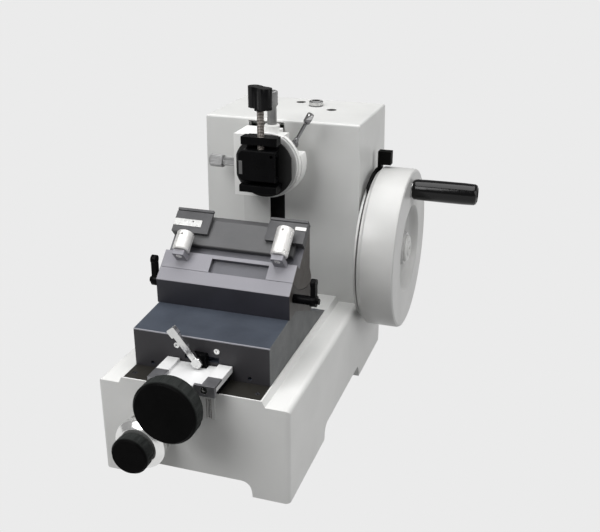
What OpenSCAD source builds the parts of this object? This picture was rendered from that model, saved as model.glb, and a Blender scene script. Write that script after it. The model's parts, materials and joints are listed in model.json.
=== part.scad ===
// Rotary microtome: L-shaped casting, handwheel drive, oscillating specimen
// head and a knife stage with coarse feed.  Units are millimetres.
// Modelled from the bench up (+Z), with the knife stage towards -Y and the
// handwheel towards +X.  The origin is the centre of the overall footprint.

/* [Base casting] */
// Width of the base
base_w = 190; // [160:1:240]
// Length of the bed in front of the column
bed_d = 238; // [232:1:260]
// Height of the side rims above the bench
rim_z = 100; // [90:1:112]
// Height of the raised bed above the side rims
bed_rise = 6; // [4.5:0.5:9]
// Width of the raised bed
bed_w = 139; // [130:1:150]
// Margin round the dark plate in the bed
bed_margin = 1.5; // [1:0.5:4]
// Width of each front foot
foot_w = 36; // [28:1:50]
// Length of the front feet along the side
foot_front_d = 111; // [80:1:130]
// Length of the rear feet along the side
foot_rear_d = 103; // [80:1:120]
// Height of the arches between the feet
arch_h = 16; // [10:1:24]
// Rounding of the arch corners
arch_fillet = 10; // [6:1:14]
// How far the rubber pads stand below the casting
pad_proud = 1.5; // [1:0.5:3]
// Diameter of a rubber pad
pad_d = 24; // [16:1:26]
// Rounding of the casting edges
edge_r = 5; // [2:0.5:7]

/* [Column] */
// Height of the column top above the bench
col_z = 302; // [290:1:330]
// Depth of the column
col_d = 116; // [112:1:150]
// Column wall thickness
wall = 9; // [7:0.5:10]
// Inset of the column at its left side
col_inset = 11; // [6:1:16]
// Side draft of the column, per millimetre of height
draft = 0.017; // [0:0.001:0.03]
// Width of the vertical slot in the column front
slot_w = 40.5; // [36:0.5:44]
// Lower end of the slot
slot_z0 = 125; // [115:1:150]
// Thickness of the rear cover
cover_t = 4; // [3:0.5:6]
// Rounding of the column's edges
col_edge_r = 2.5; // [1.5:0.5:5]

/* [Handwheel] */
// Height of the main shaft
axis_z = 153; // [150:1:156]
// Distance of the main shaft behind the column's front
axis_in = 52; // [50:0.5:54]
// Radius of the handwheel
wheel_r = 90; // [84:1:96]
// Width of the rim
rim_w = 37; // [30:1:44]
// Radius of the dish in the outer face
dish_r = 50; // [40:1:54]
// Depth of the dish
dish_depth = 11; // [6:1:18]
// Step of the narrow flange behind the rim
flange_step = 4; // [3:0.5:6]
// Gap between the base side and the handwheel
wheel_gap = 5; // [4.5:0.5:8]
// Radius of the main shaft
shaft_r = 10; // [8:0.5:12]
// Radius of the crank, half of the vertical stroke
crank_r = 29; // [24:0.5:29.5]
// Radius at which the handle stands
handle_pos_r = 70; // [60:1:74]
// Diameter of the handle grip
grip_d = 23.5; // [18:0.5:28]
// Length of the handle grip
grip_l = 70; // [60:1:90]
// Radius of the black locking ring
lock_r = 82; // [76:1:84]
// Thickness of the locking ring
lock_t = 2.4; // [2:0.1:3]

/* [Vertical slide] */
// Width of the carriage between its rails
carriage_w = 68; // [64:1:72]
// Reach of the carriage below the head's centre
carriage_down = 98.5; // [90:0.5:100]
// Reach of the carriage above the head's centre
carriage_up = 21.5; // [16:0.5:24]
// Width of each guide rail
rail_w = 18; // [14:1:20]
// Thickness of each guide rail
rail_t = 14; // [12:1:15]
// Width of the strip that covers the slot below the head
strip_w = 30.5; // [28:0.5:32]
// Reach of that strip below the head's centre
strip_down = 97; // [90:1:97]

/* [Specimen head] */
// Sideways place of the head centre
head_x = 4; // [2:0.5:6]
// Height of the head centre at the top of the stroke
head_z = 263.5; // [262:0.5:264.5]
// Reach of the head in front of the column
head_reach = 40.5; // [38:0.5:42]
// Radius of the round head
head_r = 36.5; // [35:0.5:40]
// Depth of the round head from front to back
head_depth = 21.5; // [20:0.5:26]
// Half height of the flat top above the centre
head_up = 30; // [29:0.5:32]
// Half height of the flat bottom below the centre
head_down = 35.5; // [32:0.5:36]
// Left side of the head from its centre
head_left = 36.5; // [34:0.5:40]
// Radius of the tilting ball
ball_r = 25; // [22:0.1:25.5]
// Radius of the pin on which the head swivels
pivot_r = 3; // [2.5:0.25:4]
// Radius of the black orientation disc
disc_r = 32; // [30:0.5:33]
// Width of the specimen clamp
clamp_w = 38.5; // [34:0.5:42]
// Depth of the specimen clamp from front to back
clamp_d = 20.5; // [18:0.5:22]
// Overall height of the specimen clamp
clamp_h = 56.4; // [54:0.1:60]
// Thickness of the clamp's bridge and lower jaw
clamp_t = 8; // [6:0.5:9]
// Height of the sliding jaw
jaw_h = 32; // [26:0.5:33]
// Opening of the jaws at rest
jaw_gap = 4.4; // [4.2:0.1:5]
// Diameter of the clamp spindle
spindle_d = 7; // [5:0.5:8]

/* [Knife stage] */
// Front face of the knife base behind the casting front
stage_y = 26.6; // [26:0.1:28]
// Height of the knife base's front face
stage_h = 38.2; // [34:0.2:42]
// Depth of the knife base along the bed
stage_d = 170.5; // [164:0.5:176]
// Slope of the knife base's top
stage_slope = 4; // [2:0.5:6]
// Width of the knife holder
holder_w = 138; // [130:1:140]
// Distance of the cradle's front from the cutting edge
cradle_reach = 58; // [56:0.5:59]
// Height of the cradle's front face
cradle_h = 25; // [22:0.5:28]
// Cutting edge behind the knife base's front
edge_back = 111.4; // [108:0.2:114]
// Height of the cutting edge above the bench
edge_z = 226; // [224:0.5:228]
// Radius of the arc on which the holder tilts
arc_r = 65; // [64:0.5:66]
// Slope of the holder's front
face_slope = 42.5; // [41:0.5:44]
// Width of each knife clamp
end_w = 39; // [34:0.5:44]
// How far the knife stops short of the holder's ends
knife_inset = 8; // [6:0.5:14]
// Distance of the knife screws from the holder's ends
screw_inset = 17; // [16:0.5:20]
// Width of the knife from edge to back
knife_w = 36; // [32:0.5:40]

/* [Controls] */
// Radius of the coarse feed knob
knob_r = 30.5; // [26:0.5:32]
// Depth of the coarse feed knob
knob_d = 20; // [16:0.5:24]
// Distance of the knob's face before the casting front
knob_out = 50; // [46:1:60]
// Sideways place of the feed screw
feed_x = -1; // [-4:0.5:4]
// Height of the feed screw above the bed
feed_up = 2.4; // [2:0.1:3]
// Radius of the feed screw
feed_r = 5; // [4:0.25:5.25]
// Radius of the thickness knob
small_r = 18.5; // [15:0.5:20]
// Sideways place of the thickness knob
small_x = -45; // [-52:0.5:-42]
// Height of the thickness knob
small_z = 49; // [45:0.5:55]
// Radius of the graduated drum
drum_r = 25.3; // [22:0.1:26]

/* [Fits] */
// Radial clearance of turning shafts
run_gap = 0.05; // [0.02:0.01:0.1]
// Clearance between sliding faces
slide_gap = 0.1; // [0.05:0.05:0.2]
// Clearance between parts that swing past each other
swing_gap = 0.4; // [0.3:0.1:0.6]

/* [Hidden] */
$fn = 64;
base_wall = 12;
base_roof_z = rim_z - 14;
bed_z = rim_z + bed_rise;
half_w = base_w/2;
base_d = bed_d + col_d;
col_y = bed_d;
axis_y = col_y + axis_in;
head_y = col_y - head_reach;
stage_w = bed_w - 2*bed_margin;
edge_y = stage_y + edge_back;
cradle_y = edge_y - cradle_reach;
knife_l = holder_w - 2*knife_inset;
bed_plate_t = 4;
bed_plate_y1 = stage_y + stage_d - 2;
groove_w = 18;
groove_z = bed_z - 8;
feed_z = bed_z + feed_up;
col_back = base_d;
col_lean = draft*(col_z - rim_z);
slot_x = head_x - 15;
slot_z1 = col_z - 3;
top_wall = wall - 1;
inner_y = col_y + wall;
wheel_x0 = half_w + wheel_gap;
wheel_x1 = wheel_x0 + 3 + rim_w;
flange_r = wheel_r - flange_step;
handle_z = axis_z + handle_pos_r;
grip_x0 = wheel_x1 + 1;
grip_x1 = grip_x0 + grip_l;
sleeve_r = shaft_r + 6;
sleeve_hub_r = shaft_r + 12;
ring_x0 = half_w + 0.3;
crank_x0 = half_w - 33;
crank_t = 10;
crank_disc_r = crank_r + 12;
yoke_x0 = crank_x0 - 19;
yoke_t = 14;
pin_r = 6;
block_w = 20;
carriage_hw = carriage_w/2;
carriage_z0 = head_z - carriage_down;
carriage_z1 = head_z + carriage_up;
vee = 6;
head_back = col_y - 1.5;
ball_y = head_y + 9;
ball_bore_r = ball_r + 0.9;
ring_r = disc_r + 2;
disc_y = head_y - 10;
clamp_y = disc_y - clamp_d;
clamp_z0 = head_z - 22.4;
clamp_x = head_x + 0.8;
clamp_z1 = clamp_z0 + clamp_h;
spindle_x = head_x + 1.5;
spindle_y = disc_y - 10.5;
jaw_z0 = clamp_z0 + clamp_t + jaw_gap - 0.5;
jaw_z1 = jaw_z0 + jaw_h;
wing_z = clamp_z1 + 28.5;
post_y = head_y + 15.5;
post_x = head_x + 0.5;
boss_top = head_z + head_up + 9;
stage_top = bed_z + stage_h;
stage_peak_y = stage_y + 73;
stage_peak_z = stage_top + 73*tan(stage_slope);
holder_x = -0.5;
plate_z0 = bed_z + 9;
plate_z1 = plate_z0 + 6;
plate_out = 12;
plate_hw = 32.7;
lever_z = plate_z1 + 3.5;
lever_y = stage_y - 9;
lever_x = feed_x + 1.9;
arc_gap = 0.3;
screw_x = holder_w/2 - screw_inset;
stud_r = 3;
drum_y0 = -23.5;
drum_y1 = -12;
front_y = -knob_out;
mid_x = (-half_w + grip_x1)/2;
mid_y = (front_y + axis_y + wheel_r)/2;

// ---------- helpers ----------

// Puts the machine frame (base centre, casting front, bench) into the part frame
module machine() translate([-mid_x, -mid_y, 0]) children();

// Box from its lowest to its highest corner
module block(p, q) translate(p) cube([q[0]-p[0], q[1]-p[1], q[2]-p[2]]);

// Cylinders along X and Y from a start point
module rod_x(p, r, l) translate(p) rotate([0, 90, 0]) cylinder(r = r, h = l);
module rod_y(p, r, l) translate(p) rotate([-90, 0, 0]) cylinder(r = r, h = l);
module rod_z(p, r, l) translate(p) cylinder(r = r, h = l);

// Outline in Y and Z, extruded along X
module side_cut(x0, x1, pts) translate([x0, 0, 0]) rotate([90, 0, 90])
  linear_extrude(x1 - x0) polygon(pts);

// Outline in X and Z, extruded along Y
module front_cut(y0, y1, pts) translate([0, y1, 0]) rotate([90, 0, 0])
  linear_extrude(y1 - y0) polygon(pts);

// Body of revolution about an axis along X, from points [x, r]
module turned_x(p, pts) translate(p) rotate([0, 90, 0]) rotate_extrude()
  polygon([for (q = pts) [q[1], q[0]]]);

// Body of revolution about an axis along Y, from points [y, r]
module turned_y(p, pts) translate(p) rotate([-90, 0, 0]) rotate_extrude()
  polygon([for (q = pts) [q[1], q[0]]]);

// Body of revolution about a vertical axis, from points [z, r]
module turned_z(p, pts) translate(p) rotate_extrude() polygon([for (q = pts) [q[1], q[0]]]);

// Corner rounded by an arc of n steps between its two neighbours
function unit(v) = v/norm(v);
function corner(a, b, c, r, n = 5) = let (u = unit(a - b), w = unit(c - b),
  half = acos(u*w)/2, t = r/tan(half), m = b + unit(u + w)*r/sin(half),
  p = b + u*t - m, q = b + w*t - m, sweep = 180 - 2*half,
  dir = sign(p[0]*q[1] - p[1]*q[0]), start = atan2(p[1], p[0]))
  [for (i = [0:n]) m + r*[cos(start + dir*sweep*i/n), sin(start + dir*sweep*i/n)]];
function rounded(pts, r) = let (k = len(pts))
  [for (i = [0:k-1]) each corner(pts[(i+k-1)%k], pts[i], pts[(i+1)%k], r)];
function box2(x0, y0, x1, y1) = [[x0, y0], [x1, y0], [x1, y1], [x0, y1]];

// ---------- base and column ----------

arch_z = pad_proud + arch_h;
function arch(a, b) = [[a, -1], [b, -1], each corner([b, -1], [b - 2, arch_z], [a, arch_z], arch_fillet),
  each corner([b, arch_z], [a + 2, arch_z], [a, -1], arch_fillet)];

module base_casting() color("whitesmoke") machine() difference() {
  union() {
    intersection() {
      translate([0, 0, pad_proud]) linear_extrude(rim_z - pad_proud)
        polygon(rounded(box2(-half_w, 0, half_w, base_d), edge_r));
      front_cut(-1, base_d + 1, [[-half_w - 1, 0], [half_w + 1, 0],
        each corner([half_w, 0], [half_w, rim_z], [0, rim_z], edge_r),
        each corner([0, rim_z], [-half_w, rim_z], [-half_w, 0], edge_r)]);
    }
    front_cut(0, col_y, [[-bed_w/2 - 3, rim_z - 1], [bed_w/2 + 3, rim_z - 1],
      [bed_w/2 + 3, rim_z], [bed_w/2, bed_z], [-bed_w/2, bed_z], [-bed_w/2 - 3, rim_z]]);
    front_cut(col_y, base_d, [[-half_w + col_inset - 1, rim_z - edge_r - 1],
      [half_w, rim_z - edge_r - 1], [half_w, rim_z], [-half_w + col_inset - 1, rim_z]]);
  }
  front_cut(-1, base_d + 1, arch(-half_w + foot_w, half_w - foot_w));
  block([-half_w + foot_w, base_wall, -1], [half_w - foot_w, base_d - base_wall, base_roof_z]);
  block([-half_w + base_wall, base_wall + 30, -1], [half_w - base_wall, base_d - base_wall - 30,
      base_roof_z]);
  side_cut(-half_w - 1, half_w + 1, arch(foot_front_d, base_d - foot_rear_d));
  block([-bed_w/2 + bed_margin, bed_margin, bed_z - bed_plate_t],
    [bed_w/2 - bed_margin, bed_plate_y1 + 0.1, bed_z + 1]);
  block([feed_x - groove_w/2, -1, groove_z], [feed_x + groove_w/2, col_y - bed_margin, bed_z + 1]);
  rod_y([small_x, -1, small_z], 9, 41);
  rod_y([small_x, -1, small_z], 5 + run_gap, 75);
  for (p = pad_places()) rod_z([p[0], p[1], -1], pad_d/2 + run_gap, 1 + pad_proud + 2);
}

function pad_places() = [for (sx = [-1, 1], y = [24, base_d - 24])
  [sx*(half_w - foot_w/2), y]];

module foot_pads() color("dimgray") machine() for (p = pad_places())
  turned_z([p[0], p[1], 0], [[0, 0], [0, pad_d/2 - 1.5], [1.2, pad_d/2], [pad_proud + 2, pad_d/2],
    [pad_proud + 2, 0]]);

function col_left(z) = -half_w + col_inset + draft*(z - rim_z);
function col_right(z) = half_w - draft*(z - rim_z);

module column_housing() color("white") machine() difference() {
  intersection() {
    front_cut(col_y, col_back, [[col_left(rim_z), rim_z], [col_right(rim_z), rim_z],
      each corner([col_right(rim_z), rim_z], [col_right(col_z), col_z], [0, col_z], col_edge_r),
      each corner([0, col_z], [col_left(col_z), col_z], [col_left(rim_z), rim_z], col_edge_r)]);
    side_cut(-half_w, half_w, [[col_y, rim_z], [col_back, rim_z],
      each corner([col_back, rim_z], [col_back, col_z], [col_y, col_z], col_edge_r),
      each corner([col_back, col_z], [col_y, col_z], [col_y, rim_z], col_edge_r)]);
    translate([0, 0, rim_z]) linear_extrude(col_z - rim_z)
      polygon(rounded(box2(col_left(rim_z), col_y, half_w, col_back), col_edge_r));
  }
  front_cut(inner_y, col_back - cover_t - 3, [[col_left(rim_z) + wall, rim_z - 1],
    [col_right(rim_z) - wall, rim_z - 1], [col_right(col_z) - wall, col_z - top_wall],
    [col_left(col_z) + wall, col_z - top_wall]]);
  block(cover_lo(0), cover_hi(0));
  block(cover_lo(8) - [0, 8, 0], cover_hi(8) + [0, 1, 0]);
  block([slot_x - slot_w/2, col_y - 1, slot_z0], [slot_x + slot_w/2, inner_y + 1, slot_z1]);
  rod_x([half_w - 20, axis_y, axis_z], sleeve_r + 0.02, 30);
  for (a = socket_angles) translate([socket_x, socket_y, 0]) rotate([0, 0, a])
    rod_z([socket_pcd/2, 0, col_z - top_wall - 1], socket_hole_r, 20);
  rod_z([socket_x, socket_y, col_z - top_wall - 1], 6 + 0.02, 20);
  for (p = cover_screw_places()) rod_y([p[0], col_back - cover_t - 9, p[1]], 2, 10);
}

cover_z0 = rim_z + 12;
cover_z1 = col_z - 18;
cover_x0 = -half_w + col_inset + 16;
cover_x1 = half_w - 16;
function cover_lo(m) = [cover_x0 + m, col_back - cover_t, cover_z0 + m];
function cover_hi(m) = [cover_x1 - m, col_back + 1, cover_z1 - m];
function cover_screw_places() = [for (x = [cover_x0 + 4.5, cover_x1 - 4.5],
  z = [cover_z0 + 4.5, (cover_z0 + cover_z1)/2, cover_z1 - 4.5]) [x, z]];

module rear_cover() color("gainsboro") machine() difference() {
  front_cut(col_back - cover_t, col_back, rounded(box2(cover_x0 + 0.2, cover_z0 + 0.2,
    cover_x1 - 0.2, cover_z1 - 0.2), 2));
  for (p = cover_screw_places()) {
    rod_y([p[0], col_back - cover_t - 1, p[1]], 2.2, 9);
    rod_y([p[0], col_back - 2.2, p[1]], 4, 9);
  }
}

module rear_cover_screws() color("silver") machine() for (p = cover_screw_places())
  difference() {
    union() {
      rod_y([p[0], col_back - cover_t - 7, p[1]], 1.9, cover_t + 5);
      rod_y([p[0], col_back - 2.2, p[1]], 3.8, 2);
    }
    translate([p[0], col_back - 1.4, p[1]]) rotate([-90, 0, 0]) cylinder(r = 1.7, h = 3, $fn = 6);
  }

socket_x = 19.7;
socket_y = col_y + 79.5;
socket_pcd = 55;
socket_hole_r = 5.8;
socket_angles = [-34, 146];

module accessory_socket() color("gainsboro") machine() difference() {
  turned_z([socket_x, socket_y, 0], [[col_z - top_wall, 0], [col_z - top_wall, 6], [col_z, 6],
    [col_z, 8], [col_z + 5, 8], [col_z + 6, 7], [col_z + 6, 0]]);
  rod_z([socket_x, socket_y, col_z - top_wall + 2], 4.2, 30);
}

// ---------- bed and feed ----------

module bed_plate() color("dimgray") machine() difference() {
  block([-bed_w/2 + bed_margin + 0.1, bed_margin + 0.1, bed_z - bed_plate_t],
    [bed_w/2 - bed_margin - 0.1, bed_plate_y1, bed_z]);
  block([feed_x - groove_w/2, -1, groove_z], [feed_x + groove_w/2, col_y, bed_z + 1]);
  for (sx = [-1, 1], y = [12, 74, 136, 188]) rod_z([sx*(bed_w/2 - 8), y, bed_z - 2.5], 2.6, 5);
}

module screw_bearing_block() color([0.12, 0.12, 0.13]) machine() difference() {
  union() {
    block([feed_x - plate_hw + 3, 0.3, bed_z], [feed_x + plate_hw - 3, stage_y - 0.6, plate_z0]);
    block([feed_x - groove_w/2 + 0.1, 2, groove_z], [feed_x + groove_w/2 - 0.1, stage_y - 0.6, bed_z + 1]);
    front_cut(lever_y + 2.6, stage_y - 0.6, rounded(box2(lever_x - 7, plate_z0 - 2, lever_x + 7,
      lever_z + 6.5), 1.5));
  }
  rod_y([feed_x, -1, feed_z], feed_r + run_gap, 60);
  rod_y([lever_x, lever_y, lever_z], 3.5 + run_gap, 20);
}

module front_plate() color("white") machine() difference() {
  block([feed_x - plate_hw, -plate_out, plate_z0], [feed_x + plate_hw, stage_y - 0.6, plate_z1]);
  block([feed_x - 20, -plate_out - 1, plate_z0 + 3], [feed_x + 19, stage_y, plate_z1 + 1]);
  block([lever_x - 7.3, lever_y + 2.3, plate_z0 - 1], [lever_x + 7.3, stage_y, plate_z1 + 1]);
  for (s = [-1, 1]) clip_seat(s, 0);
}

// Inlaid top of a clip on one front corner of the plate; g widens it to make the piece
module clip_seat(s, g) {
  x0 = s < 0 ? feed_x - plate_hw : feed_x + plate_hw - 13.5;
  block([x0 - 1 + g, -plate_out - 1 - g, plate_z1 - 1.8], [x0 + 14.5 - g, 2 - g, plate_z1 + 1 - 2*g]);
}

module plate_clips() color("gray") machine() for (s = [-1, 1]) difference() {
  x0 = s < 0 ? feed_x - plate_hw : feed_x + plate_hw - 20.5;
  union() {
    block([s < 0 ? x0 : x0 + 7, -plate_out, plate_z1 - 1.8],
      [s < 0 ? x0 + 13.5 : x0 + 20.5, 1.8, plate_z1 + 0.2]);
    block([x0, -plate_out - 3, plate_z0 - 4.5], [x0 + 20.5, -plate_out, plate_z1 + 0.2]);
  }
  rod_y([x0 + 10, -plate_out - 4, plate_z0 + 1.5], 2.1, 8);
  rod_y([x0 + 10, -plate_out - 4, plate_z0 + 1.5], 3.6, 2.5);
}

module clip_screws() color("silver") machine() for (s = [-1, 1]) {
  x0 = s < 0 ? feed_x - plate_hw : feed_x + plate_hw - 20.5;
  difference() {
    union() {
      rod_y([x0 + 10, -plate_out - 3, plate_z0 + 1.5], 3.4, 1.5);
      rod_y([x0 + 10, -plate_out - 2, plate_z0 + 1.5], 2, 2);
    }
    translate([x0 + 10, -plate_out - 4, plate_z0 + 1.5]) rotate([-90, 0, 0])
      cylinder(r = 1.6, h = 1.8, $fn = 6);
  }
}

module index_strip() color("white") machine() difference() {
  block([13, -1.5, bed_z - 27], [25, 0, bed_z - 4]);
  for (z = [bed_z - 24, bed_z - 7]) rod_y([19, -2, z], 1.2, 3);
}

module rear_screw_bearing() color([0.2, 0.2, 0.22]) machine() difference() {
  block([feed_x - groove_w/2 + 0.1, col_y - 14, groove_z], [feed_x + groove_w/2 - 0.1, col_y - 4,
      feed_z + feed_r + 3]);
  rod_y([feed_x, col_y - 20, feed_z], feed_r - 1 + run_gap, 30);
}

module feed_screw() color("silver") machine() union() {
  rod_y([feed_x, front_y + 6, feed_z], feed_r - 1, knob_out - 6.2);
  rod_y([feed_x, -plate_out - 3.4, feed_z], feed_r + 1.2, plate_out + 3.2);
  rod_y([feed_x, -0.2, feed_z], feed_r, col_y - 14 - 0.2);
  rod_y([feed_x, col_y - 14.6, feed_z], feed_r - 1, 10);
}

module coarse_knob() color([0.07, 0.07, 0.08]) machine() difference() {
  union() {
    turned_y([feed_x, front_y, feed_z], [[0, 0], [0, knob_r - 2.4], [1.2, knob_r - 1.8],
      [2.6, knob_r], [knob_d*0.72, knob_r], [knob_d*0.9, knob_r - 1.6], [knob_d, knob_r - 5],
      [knob_d, 12], [knob_d + 10, 12], [knob_d + 12, 10.5], [knob_out - plate_out - 4, 10.5],
      [knob_out - plate_out - 4, 0]]);
  }
  rod_y([feed_x, front_y + 6, feed_z], feed_r - 1 + 0.01, knob_out);
  for (i = [0:knob_flutes - 1]) translate([feed_x, 0, feed_z]) rotate([0, i*360/knob_flutes, 0])
    rod_y([knob_r + 3.2, front_y + 3.4, 0], 4.2, knob_d);
}
knob_flutes = 18;

// ---------- thickness setting ----------

module drum_collar() color("silver") machine() difference() {
  turned_y([small_x, 0, small_z], [[drum_y1 + 0.4, 0], [drum_y1 + 0.4, drum_r - 5],
    [-3, drum_r - 5], [-3, drum_r - 2], [0, drum_r - 2], [0, 8.8], [24, 8.8], [24, 0]]);
  rod_y([small_x, drum_y1, small_z], 5 + run_gap, 60);
}

module graduated_drum() color("gainsboro") machine() difference() {
  turned_y([small_x, 0, small_z], [[drum_y0, 0], [drum_y0, drum_r - 6], [drum_y0 + 4.5, drum_r - 0.6],
    [drum_y0 + 5.5, drum_r], [drum_y1, drum_r], [drum_y1, drum_r - 3], [drum_y1 - 2, drum_r - 4],
        [drum_y1 - 2, 0]]);
  rod_y([small_x, drum_y0 - 1, small_z], 5.01, 20);
}

module thickness_knob() color([0.07, 0.07, 0.08]) machine() difference() {
  turned_y([small_x, drum_y0, small_z], [[-16.5, 0], [-16.5, small_r - 1.8], [-15, small_r - 1],
    [-14, small_r], [-4, small_r], [-2, small_r - 1], [-0.4, small_r - 3.5], [-0.1, 9], [-0.1, 0]]);
  rod_y([small_x, drum_y0 - 10, small_z], 5.01, 20);
  for (i = [0:15]) translate([small_x, 0, small_z]) rotate([0, i*22.5, 0])
    rod_y([small_r + 2.6, drum_y0 - 13.2, 0], 3.3, 20);
}

module thickness_spindle() color("silver") machine() union() {
  rod_y([small_x, drum_y0 - 10, small_z], 5, 80);
  rod_y([small_x, drum_y1 - 1.8, small_z], 8, 1.8);
}

// ---------- handwheel and drive ----------

module handwheel() color("white") machine() difference() {
  turned_x([0, axis_y, axis_z], [[wheel_x0, 0], [wheel_x0, flange_r - 1], [wheel_x0 + 0.6, flange_r],
    [wheel_x0 + 3, flange_r], [wheel_x0 + 3, wheel_r - 2], [wheel_x0 + 5, wheel_r],
    [wheel_x1 - 3, wheel_r], [wheel_x1 - 0.9, wheel_r - 0.9], [wheel_x1, wheel_r - 3],
    [wheel_x1, dish_r], [wheel_x1 - 1, dish_r - 1.5], [wheel_x1 - dish_depth + 2, dish_r - 6],
    [wheel_x1 - dish_depth, dish_r - 10], [wheel_x1 - dish_depth, 21], [wheel_x1 - dish_depth + 4, 19],
    [wheel_x1 - 4, 18], [wheel_x1 - 4, 0]]);
  rod_x([wheel_x0 - 1, axis_y, axis_z], shaft_r + 0.01, 60);
  rod_x([wheel_x1 - 22, axis_y, handle_z], 5.01, 30);
  turned_x([0, axis_y, axis_z], [[wheel_x0 - 1, 32], [wheel_x0 + 12, 34], [wheel_x0 + 12, flange_r - 16],
    [wheel_x0 - 1, flange_r - 12]]);
}

module hub_cap() color("silver") machine() difference() {
  turned_x([0, axis_y, axis_z], [[wheel_x1 - 4, 0], [wheel_x1 - 4, 15], [wheel_x1 - 2.5, 15],
    [wheel_x1 - 1, 13.5], [wheel_x1 - 1, 9], [wheel_x1 + 0.5, 8], [wheel_x1 + 0.5, 0]]);
  translate([wheel_x1 - 2.5, axis_y, axis_z]) rotate([0, 90, 0]) cylinder(r = 4, h = 5, $fn = 6);
}

module main_shaft() color("silver") machine() union() {
  rod_x([crank_x0 + 0.01, axis_y, axis_z], shaft_r, wheel_x1 - 4 - crank_x0 - 0.02);
  rod_x([crank_x0 + crank_t + 0.01, axis_y, axis_z], shaft_r + 3, 6);
}

module crank_disc() color("slategray") machine() difference() {
  union() {
    rod_x([crank_x0, axis_y, axis_z], crank_disc_r, crank_t);
    rod_x([crank_x0 - 4.5, axis_y, axis_z + crank_r], pin_r, 5);
  }
  rod_x([crank_x0 - 1, axis_y, axis_z], shaft_r + 0.01, 30);
}

module counterweight() color("dimgray") machine() difference() {
  intersection() {
    rod_x([crank_x0 + crank_t, axis_y, axis_z], crank_disc_r, 7);
    block([0, axis_y - 60, axis_z - 60], [half_w, axis_y + 60, axis_z - 8]);
  }
  rod_x([crank_x0 + crank_t - 1, axis_y, axis_z], sleeve_r + 6, 30);
}

module shaft_sleeve() color("goldenrod") machine() difference() {
  turned_x([0, axis_y, axis_z], [[half_w - 16, 0], [half_w - 16, sleeve_r], [ring_x0 - 0.2, sleeve_r],
    [ring_x0 - 0.2, sleeve_hub_r], [ring_x0 + lock_t + 0.4, sleeve_hub_r], [ring_x0 + lock_t + 0.4,
        sleeve_r + 8.5],
    [ring_x0 + lock_t + 1.6, sleeve_r + 8.5], [ring_x0 + lock_t + 1.6, 0]]);
  rod_x([half_w - 20, axis_y, axis_z], shaft_r + run_gap, 40);
}

module lock_ring() color([0.08, 0.08, 0.09]) machine() difference() {
  rod_x([ring_x0, axis_y, axis_z], lock_r, lock_t);
  rod_x([ring_x0 - 1, axis_y, axis_z], sleeve_hub_r + run_gap, 10);
  for (a = [60:60:300]) translate([0, axis_y, axis_z]) rotate([a, 0, 0])
    rod_x([ring_x0 - 1, 0, lock_r - 26], 14, 10);
}

module lock_lever() color([0.08, 0.08, 0.09]) machine() {
  y0 = axis_y + 3;
  xa = ring_x0 + lock_t;
  xb = wheel_x0 - 0.6;
  block([xa, y0 - 5, axis_z + lock_r - 14], [xb, y0 + 13, axis_z + wheel_r - 2.5]);
  block([wheel_x0 - 1.4, y0 + 2, axis_z + wheel_r - 3], [wheel_x0 + 2.6, y0 + 12, axis_z + wheel_r + 18]);
  block([wheel_x0 - 1.4, y0 + 2, axis_z + wheel_r + 3], [wheel_x0 + 13.4, y0 + 12, axis_z + wheel_r + 18]);
  difference() {
    intersection() {
      rod_x([xa, axis_y, axis_z], wheel_r, xb - xa);
      side_cut(xa - 1, xb + 1, [[axis_y, axis_z], [axis_y + 10, axis_z + 120], [axis_y - 64,
          axis_z + 120]]);
    }
    rod_x([xa - 1, axis_y, axis_z], lock_r - 5, 10);
  }
}

module handle_bolt() color("silver") machine() union() {
  rod_x([wheel_x1 - 22, axis_y, handle_z], 5, grip_l + 19);
  rod_x([wheel_x1 + 0.02, axis_y, handle_z], 8, 0.8);
  rod_x([grip_x1 - 5, axis_y, handle_z], 7.5, 3);
}

module handle_grip() color([0.05, 0.05, 0.05]) machine() difference() {
  turned_x([0, axis_y, handle_z], [[grip_x0, 0], [grip_x0, grip_d/2 - 2], [grip_x0 + 2, grip_d/2 - 0.6],
    [grip_x0 + 14, grip_d/2 - 0.2], [grip_x0 + 34, grip_d/2], [grip_x1 - 14, grip_d/2],
    [grip_x1 - 3, grip_d/2 - 0.4], [grip_x1 - 0.8, grip_d/2 - 1.6], [grip_x1, grip_d/2 - 3.6], [grip_x1,
        0]]);
  rod_x([grip_x0 - 1, axis_y, handle_z], 5 + run_gap, grip_l + 5);
  rod_x([grip_x1 - 5.4, axis_y, handle_z], 7.5 + swing_gap, 10);
}

// ---------- vertical slide ----------

function vee_side(x, d, y0, y1) = let (m = (y0 + y1)/2) [[x, m - vee], [x + d*vee, m], [x, m + vee]];

module guide_rails() color("lightsteelblue") machine() for (s = [-1, 1]) {
  x_in = slot_x + s*(carriage_hw + slide_gap);
  translate([0, 0, rim_z + 6]) linear_extrude(carriage_z1 + 6 - rim_z - 6) difference() {
    union() {
      polygon([[x_in, inner_y], [x_in + s*rail_w, inner_y], [x_in + s*rail_w, inner_y + rail_t],
        [x_in, inner_y + rail_t]]);
      polygon(vee_side(x_in + s*0.01, -s, inner_y, inner_y + rail_t));
    }
  }
}

module carriage() color([0.2, 0.2, 0.21]) machine() difference() {
  union() {
    translate([0, 0, carriage_z0]) linear_extrude(carriage_z1 - carriage_z0) difference() {
      union() {
        polygon(box2(slot_x - carriage_hw, inner_y + 0.4, slot_x + carriage_hw, inner_y + rail_t + 1));
        polygon(box2(slot_x - carriage_hw, inner_y + rail_t + 0.6, yoke_x0, inner_y + rail_t + 11));
      }
      for (s = [-1, 1]) polygon(vee_side(slot_x + s*(carriage_hw + 0.01), -s, inner_y, inner_y + rail_t));
    }
    block([slot_x - 16, head_back, head_z - 27], [slot_x + 16, inner_y + 1, head_z + 24]);
  }
  rod_y([slot_x, head_back - 1, head_z], 5, 60);
}

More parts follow.
